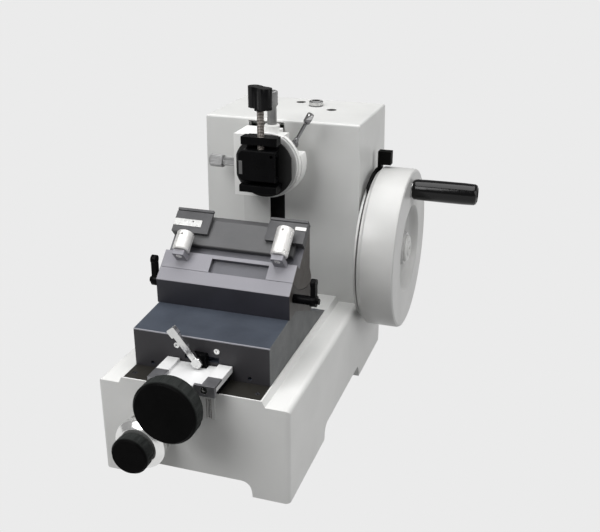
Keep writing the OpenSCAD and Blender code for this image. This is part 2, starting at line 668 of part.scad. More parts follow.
module yoke_plate() color("slategray") machine() difference() {
  block([yoke_x0, inner_y + 0.6, axis_z + crank_r - 22], [yoke_x0 + yoke_t,
      axis_y + crank_r + block_w/2 + 5, axis_z + crank_r + 22]);
  block([yoke_x0 - 1, axis_y - crank_r - block_w/2 - slide_gap, axis_z + crank_r - block_w/2 - slide_gap],
    [yoke_x0 + yoke_t + 1, axis_y + crank_r + block_w/2 + slide_gap,
        axis_z + crank_r + block_w/2 + slide_gap]);
}

module yoke_block() color("goldenrod") machine() difference() {
  block([yoke_x0 + 0.3, axis_y - block_w/2, axis_z + crank_r - block_w/2],
    [yoke_x0 + yoke_t - 0.3, axis_y + block_w/2, axis_z + crank_r + block_w/2]);
  rod_x([yoke_x0 - 1, axis_y, axis_z + crank_r], pin_r + run_gap, 30);
}

module slot_cover() color("gainsboro") machine() {
  block([slot_x + 3.5 - strip_w, col_y - 2.6, head_z - strip_down], [slot_x + 3.5, col_y - 0.6,
      head_z - head_down]);
}

// ---------- specimen head ----------

module head_housing() color("white") machine() difference() {
  union() {
    intersection() {
      union() {
        rod_y([head_x, head_y, head_z], head_r - 1, 5.5);
        rod_y([head_x, head_y + 5.5, head_z], head_r, head_depth - 5.5);
        block([head_x - head_left, head_y, head_z - head_down], [head_x, head_back, head_z + head_up]);
        block([head_x - 1, head_y + head_depth - 1, head_z - head_down + 3],
          [head_x + 4.5, head_back, head_z + head_up]);
      }
      block([head_x - head_left, head_y, head_z - head_r], [head_x + head_r, head_back, head_z + head_up]);
    }
    turned_z([post_x, post_y, 0], [[head_z + head_up - 1, 0], [head_z + head_up - 1, 8],
      [boss_top - 1, 8], [boss_top, 7.2], [boss_top, 0]]);
  }
  difference() {
    block([head_x + 17, head_y + 5.5, head_z + 11.5], [head_x + 50, head_y + head_depth + 1, head_z + 50]);
    rod_y([head_x, head_y, head_z], ball_bore_r + 2, 60);
  }
  rod_y([head_x, head_y - 1, head_z], ball_bore_r, head_depth - 0.8);
  rod_y([head_x, head_y - 1, head_z], ring_r + 0.02, 2.5);
  rod_z([post_x, post_y, head_z], 4.2 + run_gap, 60);
  rod_x([head_x - head_left - 1, swivel_y, swivel_z], 4.2 + run_gap, 30);
  rod_y([lever_px, head_y + 2.1, lever_pz], 2 + run_gap, 10);
  rod_y([slot_x, head_back - 12, head_z], 5, 60);
}

swivel_y = head_y + 14.5;
swivel_z = head_z - 4.5;
lever_px = head_x + 25.6;
lever_pz = head_z + 20.2;
lever_py = head_y + 10.5;

module head_ring() color("silver") machine() difference() {
  turned_y([head_x, head_y, head_z], [[-0.6, 0], [-0.6, ring_r - 1], [0, ring_r - 0.2], [1.5, ring_r],
      [1.5, 0]]);
  rod_y([head_x, head_y - 2, head_z], ball_r, 10);
}

module head_lever() color("silver") machine() union() {
  rod_y([lever_px, head_y + 5.8, lever_pz], 4.3, 7.7);
  rod_y([lever_px, head_y + 2.3, lever_pz], 2, 4);
  translate([lever_px, lever_py, lever_pz]) rotate([0, 29.5, 0]) turned_z([0, 0, 0],
    [[3, 0], [3, 3], [7, 2.4], [9, 1.75], [26, 1.75], [27.5, 3.2], [29, 3.75], [37, 3.75], [38, 3.2],
        [38, 0]]);
}

module tilt_screw() color("gray") machine() union() {
  turned_z([post_x, post_y, 0], [[head_z + ball_r + 0.6, 0], [head_z + ball_r + 0.6, 4.2],
    [boss_top + 0.2, 4.2], [boss_top + 0.2, 4.9], [boss_top + 19, 4.9], [boss_top + 19, 5.6],
        [boss_top + 20, 6.3], [boss_top + 33.5, 6.3],
    [boss_top + 34.5, 5.4], [boss_top + 34.5, 0]]);
}

module swivel_screw() color("silver") machine() union() {
  turned_x([head_x - head_left, swivel_y, swivel_z], [[-33, 0], [-33, 5.6], [-31.8, 6.8], [-18.5, 6.8],
    [-17.5, 6], [-17.5, 4.7], [-0.2, 4.7], [-0.2, 4.2],
    [head_left - ball_r - 1.4, 4.2], [head_left - ball_r - 0.7, 3.4], [head_left - ball_r - 0.7, 0]]);
}

// Ball zone about an axis along Y, between two planes off its centre
module ball_zone(r, y0, y1) translate([head_x, ball_y, head_z]) rotate([-90, 0, 0])
  rotate_extrude() intersection() {
    circle(r = r);
    translate([0, y0]) square([r + 1, y1 - y0]);
  }

module tilt_cradle() color("lightsteelblue") machine() difference() {
  ball_zone(ball_r, -7.5, 7);
  ball_zone(ball_in_r + swing_gap, -20, 20);
  rod_z([head_x, ball_y, head_z - ball_r - 5], pivot_r + run_gap, 2*ball_r + 10);
}
ball_in_r = ball_r - 6.5;

module swivel_ball() color("silver") machine() union() {
  ball_zone(ball_in_r, -12, 7);
  rod_y([head_x, disc_y + 3, head_z], 10.5, ball_y - 11 - disc_y - 3);
  rod_z([head_x, ball_y, head_z - ball_r + 2], pivot_r, 2*ball_r - 4);
}

module orientation_disc() color([0.08, 0.08, 0.09]) machine() difference() {
  intersection() {
    turned_y([head_x, disc_y, head_z], [[0, 0], [0, disc_r - 0.6], [0.4, disc_r], [1.2, disc_r],
      [4.8, disc_r - 12], [4.8, 0]]);
    block([head_x - disc_r + 2, 0, 0], [head_x + disc_r - 2, base_d, col_z]);
  }
  rod_y([head_x, disc_y + 3, head_z], 10.51, 20);
}

module clamp_frame() color([0.06, 0.06, 0.07]) machine() {
  h = clamp_w/2;
  difference() {
    union() {
      block([clamp_x - h + 3.5, disc_y - 7.5, clamp_z0], [clamp_x + h - 3.5, disc_y, clamp_z1]);
      block([clamp_x - h, disc_y - 15.5, clamp_z1 - clamp_t], [clamp_x + h, disc_y - 3, clamp_z1]);
      side_cut(head_x - h - 0.5, head_x + h + 0.9, [[clamp_y + 1.5, clamp_z0], [disc_y, clamp_z0],
        [disc_y, clamp_z0 + clamp_t - 0.5], [clamp_y + 2.5, clamp_z0 + clamp_t - 0.5],
        [clamp_y + 1.5, clamp_z0 + clamp_t - 1.5]]);
    }
    block([head_x - 8, disc_y - 8, clamp_z0 + clamp_t - 0.5], [head_x + 8, disc_y - 4, clamp_z1 - clamp_t]);
    rod_z([spindle_x, spindle_y, clamp_z1 - clamp_t - 1], spindle_d/2 + run_gap, 20);
  }
}

module moving_jaw() color([0.06, 0.06, 0.07]) machine() {
  h = clamp_w/2;
  c = 4;
  y1 = disc_y - 7.8;
  difference() {
    union() {
      intersection() {
        front_cut(clamp_y, y1, [[head_x - h + c, jaw_z0], [head_x + h, jaw_z0], [head_x + h, jaw_z1],
          [head_x - h + c, jaw_z1], [head_x - h, jaw_z1 - c], [head_x - h, jaw_z0 + c]]);
        side_cut(head_x - h - 1, head_x + h + 1, [[clamp_y, jaw_z0 + 1], [clamp_y + 1, jaw_z0], [y1,
            jaw_z0],
          [y1, jaw_z1], [clamp_y + 1, jaw_z1], [clamp_y, jaw_z1 - 1]]);
      }
      block([head_x - 8 + slide_gap, disc_y - 8, jaw_z0], [head_x + 8 - slide_gap, disc_y - 4.2, jaw_z1]);
    }
    for (s = [-1, 1]) block([head_x + s*(h - 1.4) - 1.6, clamp_y + 5, jaw_z0 + 5],
      [head_x + s*(h - 1.4) + 1.6, clamp_y + 9.5, jaw_z1 - 6]);
    rod_z([spindle_x, spindle_y, jaw_z1 - 9], spindle_d/2 - 0.8 + run_gap, 20);
    rod_y([head_x + h - 3.4, clamp_y - 1, jaw_z1 - 5], 1.7, 5);
  }
}

module clamp_spindle() color("rosybrown") machine() union() {
  rod_z([spindle_x, spindle_y, jaw_z1 - 8.6], spindle_d/2 - 0.8, 9);
  rod_z([spindle_x, spindle_y, jaw_z1 + 0.1], spindle_d/2, wing_z + 10 - jaw_z1);
}

module wing_knob() color([0.06, 0.06, 0.07]) machine() translate([spindle_x, spindle_y, wing_z])
  rotate([0, 0, -31]) difference() {
    union() {
      rod_z([0, 0, -2], 6, 4);
      linear_extrude(21) union() {
        for (s = [-1, 1]) translate([s*9, 0]) circle(r = 6.4);
        square([18, 12.8], center = true);
      }
    }
    rod_z([0, 0, -3], spindle_d/2 + 0.01, 14);
    for (s = [-1, 1]) translate([0, s*21.5, -1]) cylinder(r = 16, h = 30);
    for (s = [-1, 1]) translate([s*15.4, -10, 0]) rotate([0, s*-30, 0]) translate([s > 0 ? 0 : -10, 0,
        -12]) cube([10, 20, 14]);
  }

// ---------- knife stage ----------

stage_end_y = stage_y + stage_d;
function stage_fall(y) =
    stage_peak_z - (y - stage_peak_y)*(stage_peak_z - bed_z - 1)/(stage_end_y - stage_peak_y);
function stage_rise(y) = stage_top + (y - stage_y)*tan(stage_slope);
cradle_back = edge_y + 10;

module knife_base() color([0.22, 0.24, 0.29]) machine() difference() {
  side_cut(-stage_w/2, stage_w/2, [[stage_y, bed_z + 0.1], [stage_end_y, bed_z + 0.1], [stage_end_y,
      bed_z + 1],
    [stage_peak_y, stage_peak_z], [stage_y, stage_top]]);
  block([feed_x - 9, 0, 0], [feed_x + 9, base_d, feed_z + feed_r + 4]);
  block([feed_x - 15, stage_y - 1, plate_z1 + 0.4], [feed_x + 19.3, stage_y + 5, plate_z1 + 6]);
  for (x = base_screw_xs) rod_y([x, stage_y - 1, bed_z + 28], 1.8, 12);
  for (s = [-1, 1]) rod_y([feed_x + s*49, stage_y - 1, bed_z + 4.7], 2, 12);
}

base_screw_xs = [feed_x - 22.5, feed_x + 17.7];
module base_screws() color("silver") machine() for (x = base_screw_xs) difference() {
  union() {
    rod_y([x, stage_y - 1.2, bed_z + 28], 2.8, 1.2);
    rod_y([x, stage_y - 0.2, bed_z + 28], 1.79, 9);
  }
  translate([x, stage_y - 2, bed_z + 28]) rotate([-90, 0, 0]) cylinder(r = 1.3, h = 1.8, $fn = 6);
}

module feed_nut() color("goldenrod") machine() difference() {
  block([feed_x - 8.9, stage_y + 60, groove_z + 0.3], [feed_x + 8.9, stage_y + 90, feed_z + feed_r + 4]);
  rod_y([feed_x, stage_y, feed_z], feed_r + run_gap, 200);
}

function arc_pts(r, y0, y1, n = 14) = [for (i = [0:n]) let (y = y0 + (y1 - y0)*i/n)
  [y, edge_z - sqrt(r*r - (y - edge_y)*(y - edge_y))]];
function slope_pt(s, n) = [edge_y - s*cos(face_slope) - n*sin(face_slope),
  edge_z - s*sin(face_slope) + n*cos(face_slope)];

// Cylinder of the tilting arc about the cutting edge
module arc_rod(r, w) rod_x([holder_x - w/2, edge_y, edge_z], r, w);

module knife_cradle() color([0.1, 0.1, 0.12]) machine() difference() {
  seat = 0.02;
  side_cut(holder_x - holder_w/2, holder_x + holder_w/2, [[cradle_y, stage_rise(cradle_y) + seat],
    [stage_peak_y, stage_peak_z + seat], [cradle_back, stage_fall(cradle_back) + seat],
    [cradle_back, edge_z - arc_r + 8], slope_pt(60, 0), slope_pt(cradle_reach/cos(face_slope), 0)]);
  arc_rod(arc_r, holder_w + 2);
  for (s = [-1, 1]) rod_x([holder_x + s*(holder_w/2 - 10) - 11, cradle_y + 12, lock_z], 4.5 + run_gap, 22);
}
lock_z = stage_rise(cradle_y) + cradle_h - 7;

module tilt_segment() color([0.5, 0.5, 0.55]) machine() difference() {
  union() {
    intersection() {
      side_cut(holder_x - holder_w/2, holder_x + holder_w/2, [slope_pt(66, 0), slope_pt(46, 0),
          slope_pt(46, -8),
        slope_pt(2, -8), [edge_y + 4, edge_z - 48], [edge_y + 9, edge_z - 58], [edge_y + 9,
            edge_z - arc_r - 2],
        [cradle_y + 8, edge_z - arc_r - 2], [cradle_y + 8, slope_pt(66, 0)[1]]]);
      arc_rod(arc_r - arc_gap, holder_w + 2);
    }
    for (q = screws) on_face() block([q[0] - 6, -q[2] - 6, -8.5], [q[0] + 6, -q[2] - 0.4, q[3] + 4.5]);
  }
  for (q = screws) on_face() translate([q[0], -q[2] - 8, q[3]]) rotate([-90, 0, 0])
    cylinder(r = stud_r + run_gap, h = 10);
  on_face() block([-18, -70, -5], [41, -50, 5]);
}

// Knife screws: place along the edge, top and bottom distance below the edge, axis height
screws = [[screw_x, 14.5, 44, 2.3 + 8.6], [3.5 - screw_x, 30, 50, 0.5 + 8.6]];

// Frame on the holder's front: X along the edge, Y up the slope, Z outwards
module on_face() translate([holder_x, edge_y, edge_z]) rotate([face_slope, 0, 0]) children();

module knife_clamps() color([0.3, 0.3, 0.31]) machine() on_face() for (b = bars) difference() {
  x0 = b[4] > 0 ? holder_w/2 - end_w : -holder_w/2;
  block([x0, b[4] > 0 ? -24 : -25.5, -7.98], [x0 + end_w, 1.5, 2]);
  block([-knife_l/2 - 0.2, -knife_w - 3, -9], [knife_l/2 + 0.2, 2, -0.9]);
  block([b[0] - 0.05, -b[3] - 0.05, 1], [b[1] + 0.05, -b[2] + 0.05, 5]);
  block([x0 - 1, -2.4, 0.6], [x0 + end_w + 1, -1.2, 5]);
}

// Bright inserts in the clamps: start and end along the edge, top and bottom below the edge, side
bars = [[holder_w/2 - 11.2, holder_w/2, 6.6, 10.1, 1], [-holder_w/2 + 0.4, -holder_w/2 + 30, 11.2, 18.8,
    -1]];

module clamp_bars() color("gainsboro") machine() on_face() for (b = bars) difference() {
  block([b[0], -b[3], 1], [b[1], -b[2], 2.6]);
  if (b[4] < 0) rod_z([-48.5, -13.5, 0], 0.9, 5);
}

module knife() color("lightgray") machine() on_face() translate([-knife_l/2, 0, 0]) rotate([90, 0, 90])
  linear_extrude(knife_l) polygon([[-1, -7.2], [-knife_w, -8], [-knife_w - 1, -7], [-knife_w - 1, -2.2],
    [-knife_w, -1.4], [-7, -3.4]]);

// Knurled barrel screw lying along the slope, with its stud in the lug below
module barrel_screw(q) on_face() difference() {
  translate([q[0], -q[2], q[3]]) rotate([-90, 0, 0]) rotate_extrude() polygon([[0, -6], [stud_r, -6],
      [stud_r, 0],
    [7.4, 0], [8.6, 1.2], [8.6, q[2] - q[1] - 1.5], [7.6, q[2] - q[1]], [0, q[2] - q[1]]]);
  translate([q[0], -q[1] - 5, q[3]]) rotate([-90, 0, 0]) cylinder(r = 2.6, h = 8, $fn = 6);
  rod_z([q[0], -q[1] - 5, 5], 1.1, 20);
}

module knife_screw_right() color("gainsboro") machine() barrel_screw(screws[0]);
module knife_screw_left() color("gainsboro") machine() barrel_screw(screws[1]);

module crank_lever(x, s, shaft, arm) {
  y = cradle_y + 12;
  z = lock_z;
  x0 = s > 0 ? x - 10 : x - shaft;
  rod_x([x0, y, z], 4.5, shaft + 10);
  xa = s > 0 ? x + shaft : x - shaft - 6;
  rod_x([xa, y, z], 5.6, 6);
  rod_x([xa + 0.5, y, z + arm], 4.4, 5);
  block([xa + 0.5, y - 3.4, z], [xa + 5.5, y + 3.4, z + arm]);
  rod_x([s > 0 ? xa + 5.5 : xa - 2.5, y, z], 3, 3);
}

module cradle_lever_right() color([0.08, 0.08, 0.09]) machine() crank_lever(holder_x + holder_w/2, 1,
    17, 18);
module cradle_lever_left() color([0.08, 0.08, 0.09]) machine() crank_lever(holder_x - holder_w/2, -1, 4,
    22);

module bed_lever() color("silver") machine() union() {
  rod_y([lever_x, lever_y - 3.4, lever_z], 4.9, 5);
  rod_y([lever_x, lever_y + 1, lever_z], 3.5, 7);
  translate([lever_x, lever_y, lever_z]) rotate([0, -38, 0]) {
    block([-3.2, -2.4, 0], [3.2, 1, 32]);
    front_cut(-3.9, 1.2, rounded(box2(-4.4, 31.2, 4.4, 40), 1.2));
  }
}

// ---------- assembly ----------
base_casting();
foot_pads();
column_housing();
rear_cover();
rear_cover_screws();
accessory_socket();
bed_plate();
screw_bearing_block();
front_plate();
plate_clips();
clip_screws();
index_strip();
rear_screw_bearing();
guide_rails();
shaft_sleeve();
drum_collar();
handwheel();
hub_cap();
main_shaft();
crank_disc();
counterweight();
handle_bolt();
handle_grip();
lock_ring();
lock_lever();
carriage();
yoke_plate();
slot_cover();
head_housing();
head_ring();
yoke_block();
head_lever();
tilt_screw();
swivel_screw();
tilt_cradle();
swivel_ball();
orientation_disc();
clamp_frame();
moving_jaw();
clamp_spindle();
wing_knob();
knife_base();
base_screws();
feed_nut();
knife_cradle();
bed_lever();
coarse_knob();
feed_screw();
thickness_knob();
graduated_drum();
thickness_spindle();
tilt_segment();
knife_clamps();
clamp_bars();
knife();
knife_screw_right();
knife_screw_left();
cradle_lever_right();
cradle_lever_left();
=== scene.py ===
"""Looks of the rotary microtome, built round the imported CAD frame.

Lengths are in metres and in the part's own frame: +X towards the crank handle,
+Y from the feed knob to the rear of the casting, +Z up from the bench.
"""
import json
import math

import bpy
import bmesh
from mathutils import Matrix, Vector


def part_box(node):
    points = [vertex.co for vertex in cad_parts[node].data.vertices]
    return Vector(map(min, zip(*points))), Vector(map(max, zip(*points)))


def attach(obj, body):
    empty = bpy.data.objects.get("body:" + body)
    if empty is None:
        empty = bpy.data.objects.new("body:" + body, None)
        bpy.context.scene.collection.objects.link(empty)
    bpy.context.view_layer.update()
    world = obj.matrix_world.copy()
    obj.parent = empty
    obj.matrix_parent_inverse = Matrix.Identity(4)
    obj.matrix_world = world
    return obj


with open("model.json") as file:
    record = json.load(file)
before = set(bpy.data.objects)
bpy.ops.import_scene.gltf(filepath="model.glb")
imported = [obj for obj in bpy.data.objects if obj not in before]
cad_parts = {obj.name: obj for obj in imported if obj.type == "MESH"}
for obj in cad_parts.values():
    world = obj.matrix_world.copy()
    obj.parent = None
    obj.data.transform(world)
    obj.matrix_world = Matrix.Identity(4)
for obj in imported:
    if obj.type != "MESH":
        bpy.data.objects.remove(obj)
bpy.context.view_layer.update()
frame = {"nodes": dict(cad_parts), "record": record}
NODES = frame["nodes"]

MM = 0.001
RIGHT, FRONT, REAR, UP, DOWN = (1, 0, 0), (0, -1, 0), (0, 1, 0), (0, 0, 1), (0, 0, -1)


# ---------- placing ----------

def lo(node):
    """Lowest corner of a CAD node's box at rest."""
    return Vector(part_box(node)[0])


def hi(node):
    """Highest corner of a CAD node's box at rest."""
    return Vector(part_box(node)[1])


def mid(node):
    """Middle of a CAD node's box at rest."""
    return (lo(node) + hi(node)) / 2


def joint(name):
    """Place and axis of a joint at rest."""
    for row in frame["record"]["behaviour"]["joints"]:
        if row["name"] == name:
            return Vector(row["pos_m"]), Vector(row["axis"])
    raise KeyError(name)


# ---------- colours ----------

def rgb(r, g, b):
    """A colour from linear values."""
    return (r, g, b, 1.0)


def grey(value):
    """A neutral colour from one linear value."""
    return rgb(value, value, value)


def to_linear(c):
    """The linear value of a display value of 0 to 1, by the sRGB curve."""
    return c / 12.92 if c <= 0.04045 else ((c + 0.055) / 1.055) ** 2.4


def srgb(r, g=None, b=None):
    """A colour from display values of 0 to 255; one value alone makes a neutral one."""
    values = (r, r if g is None else g, r if b is None else b)
    return rgb(*(to_linear(c / 255) for c in values))


# ---------- shader nodes ----------

MIX_SHARE, MIX_A, MIX_B, MIX_RESULT = 0, 6, 7, 2   # colour sockets of a Mix node
NOISE_ROUGHNESS = 0.55
BLEND_STOPS = (0.3, 0.7)   # noise values beyond which a blend is all of one colour
SOFT_BLUR = 0.15 * MM      # half the width of a painted boundary
CRISP_BLUR = 0.1 * MM      # the same for a machined edge


class Nodes:
    """Makes and links the shader nodes of one material."""

    def __init__(self, name):
        self.mat = bpy.data.materials.new(name)
        self.mat.use_nodes = True
        self.tree = self.mat.node_tree
        self.bsdf = self.tree.nodes["Principled BSDF"]
        self.coord = self.tree.nodes.new("ShaderNodeTexCoord").outputs["Object"]

    def new(self, kind, **values):
        """A new node, with each value set on the input of its name, or else the property."""
        node = self.tree.nodes.new(kind)
        for key, value in values.items():
            if key in node.inputs:
                node.inputs[key].default_value = value
            else:
                setattr(node, key, value)
        return node

    def feed(self, source, socket):
        """Sets a socket to a constant, or links it to another node's output."""
        if isinstance(source, (int, float, tuple)):
            socket.default_value = source
        else:
            self.tree.links.new(source, socket)

    def math(self, operation, *sources):
        """The result of a Math node on constants or other nodes' outputs."""
        node = self.new("ShaderNodeMath", operation=operation)
        for source, socket in zip(sources, node.inputs):
            self.feed(source, socket)
        return node.outputs["Value"]

    def along(self, direction, origin=(0, 0, 0)):
        """Distance in metres along a direction, from a plane through origin."""
        d = Vector(direction).normalized()
        node = self.new("ShaderNodeVectorMath", operation="DOT_PRODUCT")
        self.feed(self.coord, node.inputs[0])
        self.feed(tuple(d), node.inputs[1])
        return self.math("SUBTRACT", node.outputs["Value"], d.dot(Vector(origin)))

    def angle(self, centre, axis):
        """Turn about an axis through a centre, as a share of a whole one."""
        a = Vector(axis).normalized()
        u = a.orthogonal().normalized()
        turn = self.math("ARCTAN2", self.along(a.cross(u), centre), self.along(u, centre))
        return self.math("DIVIDE", turn, 2 * math.pi)

    def radius(self, centre, axis):
        """Distance in metres from an axis through a centre."""
        a = Vector(axis).normalized()
        u = a.orthogonal().normalized()
        squares = [self.math("POWER", self.along(d, centre), 2.0) for d in (u, a.cross(u))]
        return self.math("SQRT", self.math("ADD", *squares))

    def above(self, value, edge, blur=SOFT_BLUR):
        """1 where the value is over the edge, and 0 where it's under."""
        node = self.new("ShaderNodeMapRange", **{"From Min": edge - blur, "From Max": edge + blur})
        self.feed(value, node.inputs["Value"])
        return node.outputs["Result"]

    def below(self, value, edge, blur=SOFT_BLUR):
        """1 where the value is under the edge, and 0 where it's over."""
        return self.math("SUBTRACT", 1.0, self.above(value, edge, blur))

    def both(self, a, b):
        """1 where both masks are 1."""
        return self.math("MULTIPLY", a, b)

    def mix(self, share, a, b):
        """Colour a where share is 0, and colour b where it's 1."""
        node = self.new("ShaderNodeMix", data_type="RGBA")
        self.feed(share, node.inputs[MIX_SHARE])
        self.feed(a, node.inputs[MIX_A])
        self.feed(b, node.inputs[MIX_B])
        return node.outputs[MIX_RESULT]

    def noise(self, scale, detail, stretch=(1, 1, 1)):
        """A noise over the part's own coordinates, each stretched by its factor first."""
        place = self.new("ShaderNodeMapping", Scale=stretch)
        self.feed(self.coord, place.inputs["Vector"])
        texture = self.new("ShaderNodeTexNoise", Scale=scale, Detail=detail,
                           Roughness=NOISE_ROUGHNESS)
        self.feed(place.outputs["Vector"], texture.inputs["Vector"])
        return texture.outputs["Fac"]

    def blend(self, source, low, high):
        """The low colour where a noise is low, and the high one where it's high."""
        node = self.new("ShaderNodeValToRGB")
        for element, stop, colour in zip(node.color_ramp.elements, BLEND_STOPS, (low, high)):
            element.position = stop
            element.color = colour
        self.feed(source, node.inputs["Fac"])
        return node.outputs["Color"]

    def bump(self, height, strength, distance, onto=None):
        """A normal bent by a height map, on top of an earlier bump if there is one."""
        node = self.new("ShaderNodeBump", Strength=strength, Distance=distance)
        self.feed(height, node.inputs["Height"])
        if onto is not None:
            self.feed(onto, node.inputs["Normal"])
        return node.outputs["Normal"]


# ---------- surfaces ----------

MOTTLE_DETAIL, PATCH_DETAIL, GRAIN_DETAIL = 5.0, 3.0, 2.0
PATCH_FINENESS = 3.0       # patches of roughness are this much finer than the mottle
COAT_ROUGHNESS = 0.12


def surface(name, dark, light, rough=(0.3, 0.4), metal=0.0, coat=0.0, spec=0.5,
            mottle=14.0, grain=900.0, grain_strength=0.12, grain_depth=0.15 * MM,
            grain_stretch=(1, 1, 1), paint=None, relief=None):
    """A two-tone mottled surface with its own roughness variation and fine bump.

    mottle and grain are noise scales, so a larger one is finer. paint(n, colour) may
    colour parts of it, and relief(n) may add a bump, as its wave and that wave's depth.
    """
    n = Nodes(name)
    colour = n.blend(n.noise(mottle, MOTTLE_DETAIL), dark, light)
    if paint is not None:
        colour = paint(n, colour)
    n.feed(colour, n.bsdf.inputs["Base Color"])
    patch = n.noise(mottle * PATCH_FINENESS, PATCH_DETAIL)
    n.feed(n.blend(patch, grey(rough[0]), grey(rough[1])), n.bsdf.inputs["Roughness"])
    normal = n.bump(n.noise(grain, GRAIN_DETAIL, grain_stretch), grain_strength, grain_depth)
    if relief is not None:
        wave, depth = relief(n)
        normal = n.bump(wave, 1.0, depth, normal)
    n.feed(normal, n.bsdf.inputs["Normal"])
    n.bsdf.inputs["Metallic"].default_value = metal
    n.bsdf.inputs["Coat Weight"].default_value = coat
    n.bsdf.inputs["Coat Roughness"].default_value = COAT_ROUGHNESS
    n.bsdf.inputs["Specular IOR Level"].default_value = spec
    return n.mat


def knurl(place, axis, count, slant=0.0, depth=0.22 * MM):
    """Relief of a knurled barrel: straight grooves, or crossed ones of slant turns per metre."""
    def relief(n):
        turn = n.angle(place, axis)
        run = n.math("MULTIPLY", n.along(axis, place), slant)
        phases = [n.math("ADD", turn, run)]
        if slant:
            phases.append(n.math("SUBTRACT", turn, run))
        waves = [n.math("SINE", n.math("MULTIPLY", phase, 2 * math.pi * count))
                 for phase in phases]
        return (n.math("ADD", *waves) if slant else waves[0]), depth
    return relief


THREAD_DEPTH = 0.4 * MM
GROOVE_BLUR = 0.4          # of the thread's wave, which runs from -1 to 1


def thread_wave(n, axis, pitch):
    """A wave of one crest per pitch along an axis."""
    return n.math("SINE", n.math("MULTIPLY", n.along(axis), 2 * math.pi / pitch))


def threaded(axis, pitch, groove_shade):
    """Paint and relief of a screw thread along an axis, with painted shade darkening its grooves.
    """
    def paint(n, colour):
        crest = n.above(thread_wave(n, axis, pitch), 0.0, GROOVE_BLUR)
        # Painted shade: the grooves take the darker colour, the crests keep the metal's own.
        return n.mix(crest, groove_shade, colour)

    def relief(n):
        return thread_wave(n, axis, pitch), THREAD_DEPTH
    return dict(paint=paint, relief=relief)


# ---------- painted places ----------

FACE_SKIN = 0.6 * MM               # paint on a flat face reaches this deep under it
THIN_SKIN = 0.4 * MM

STAGE_DROP = 5.1 * MM              # the knife base's top is this much lower at its front edge
STAGE_HIGHLIGHT_OUT = (0, -0.75, 0.66)  # outwards from that edge
STAGE_HIGHLIGHT_DEPTH = 0.65 * MM


def paint_stage(n, colour):
    """Knife base: front face painted darker as painted shade, right side painted lighter as
    painted light, and a bright line along its front edge as a painted highlight.
    """
    low, high = lo("knife_base"), hi("knife_base")
    # Painted shade: the front face is darker than the rest.
    front = n.above(n.along(FRONT), -low.y - FACE_SKIN)
    colour = n.mix(front, colour, srgb(50, 49, 52))
    # Painted light: the right side is lighter than the rest.
    side = n.above(n.along(RIGHT), high.x - FACE_SKIN)
    colour = n.mix(side, colour, srgb(80, 82, 83))
    # Painted highlight: a bright line along the rounded front edge.
    edge = Vector((0, low.y, high.z - STAGE_DROP))
    line = n.above(n.along(STAGE_HIGHLIGHT_OUT, edge), -STAGE_HIGHLIGHT_DEPTH, CRISP_BLUR)
    return n.mix(line, colour, srgb(150, 150, 156))


TILT_AT, _ = joint("holder_tilt")
SLOPE = math.radians(42.5)         # of the knife holder's front
SLOPE_OUT = (0.0, -math.sin(SLOPE), math.cos(SLOPE))
LAVENDER = srgb(135, 134, 140)


def paint_holder(node, side_light_and_shade):
    """Knife holder: a ground lavender-grey slope, and a right side painted in another tone as
    painted light and shade: lighter on the cradle, darker on the tilt segment.
    """
    def paint(n, colour):
        slope = n.above(n.along(SLOPE_OUT, TILT_AT), -THIN_SKIN, CRISP_BLUR)
        colour = n.mix(slope, colour, LAVENDER)
        # Painted light and shade: the right side takes the tone passed in.
        side = n.above(n.along(RIGHT), hi(node).x - THIN_SKIN)
        return n.mix(side, colour, side_light_and_shade)
    return paint


BOLT_ANGLE = math.radians(-34.0)   # of the line through the two bolt holes
BOLT_FROM_SOCKET = 27.5 * MM
BOLT_SHADE_R = 6.4 * MM


def paint_column(n, colour):
    """Column: the two bolt holes beside the top socket are painted darker inside, as painted
    shade.
    """
    socket, top = mid("accessory_socket"), hi("column_housing").z
    way = Vector((math.cos(BOLT_ANGLE), math.sin(BOLT_ANGLE), 0))
    deep = n.above(n.along(DOWN), -top + THIN_SKIN, CRISP_BLUR)
    for side in (-1, 1):
        place = socket + way * (side * BOLT_FROM_SOCKET)
        inside = n.below(n.radius(place, UP), BOLT_SHADE_R, CRISP_BLUR)
        # Painted shade: darker inside each bolt hole, below the top face.
        colour = n.mix(n.both(deep, inside), colour, srgb(62, 62, 60))
    return colour


SOCKET_BORE_R = 4.6 * MM
SOCKET_CHAMFER_R, SOCKET_CHAMFER_H = 6.8 * MM, 1.1 * MM
SOCKET_FOOT_SHADOW_DOWN = 4.6 * MM        # from its top to its darker foot
SOCKET_BLUR = 0.2 * MM


def paint_socket(n, colour):
    """Top socket: a bright band round a bore painted darker as painted shade, with a darker
    chamfer, and a foot painted darker as a painted contact shadow.
    """
    place, top = mid("accessory_socket"), hi("accessory_socket").z
    # Painted shade: the bore is darker inside.
    bore = n.below(n.radius(place, UP), SOCKET_BORE_R, SOCKET_BLUR)
    colour = n.mix(bore, colour, srgb(70))
    high = n.above(n.along(UP), top - SOCKET_CHAMFER_H, CRISP_BLUR)
    outer = n.above(n.radius(place, UP), SOCKET_CHAMFER_R, SOCKET_BLUR)
    colour = n.mix(n.both(high, outer), colour, srgb(96, 97, 97))
    # Painted shadow: the foot, where the socket stands on the column, is darker.
    foot = n.below(n.along(UP), top - SOCKET_FOOT_SHADOW_DOWN, CRISP_BLUR)
    return n.mix(foot, colour, srgb(104, 105, 105))


KNOB_FACE_DEPTH, KNOB_BLUR = 2.2 * MM, 0.6 * MM


def paint_knob(node):
    """Moulded knob: nearly black face, and a grip painted slightly lighter as a painted sheen on
    its flutes.
    """
    def paint(n, colour):
        grip = n.above(n.along(REAR), lo(node).y + KNOB_FACE_DEPTH, KNOB_BLUR)
        # Painted sheen: the grip behind the face is lighter.
        return n.mix(grip, colour, srgb(44, 46, 45))
    return paint


LEVER_TIP = 6.8 * MM


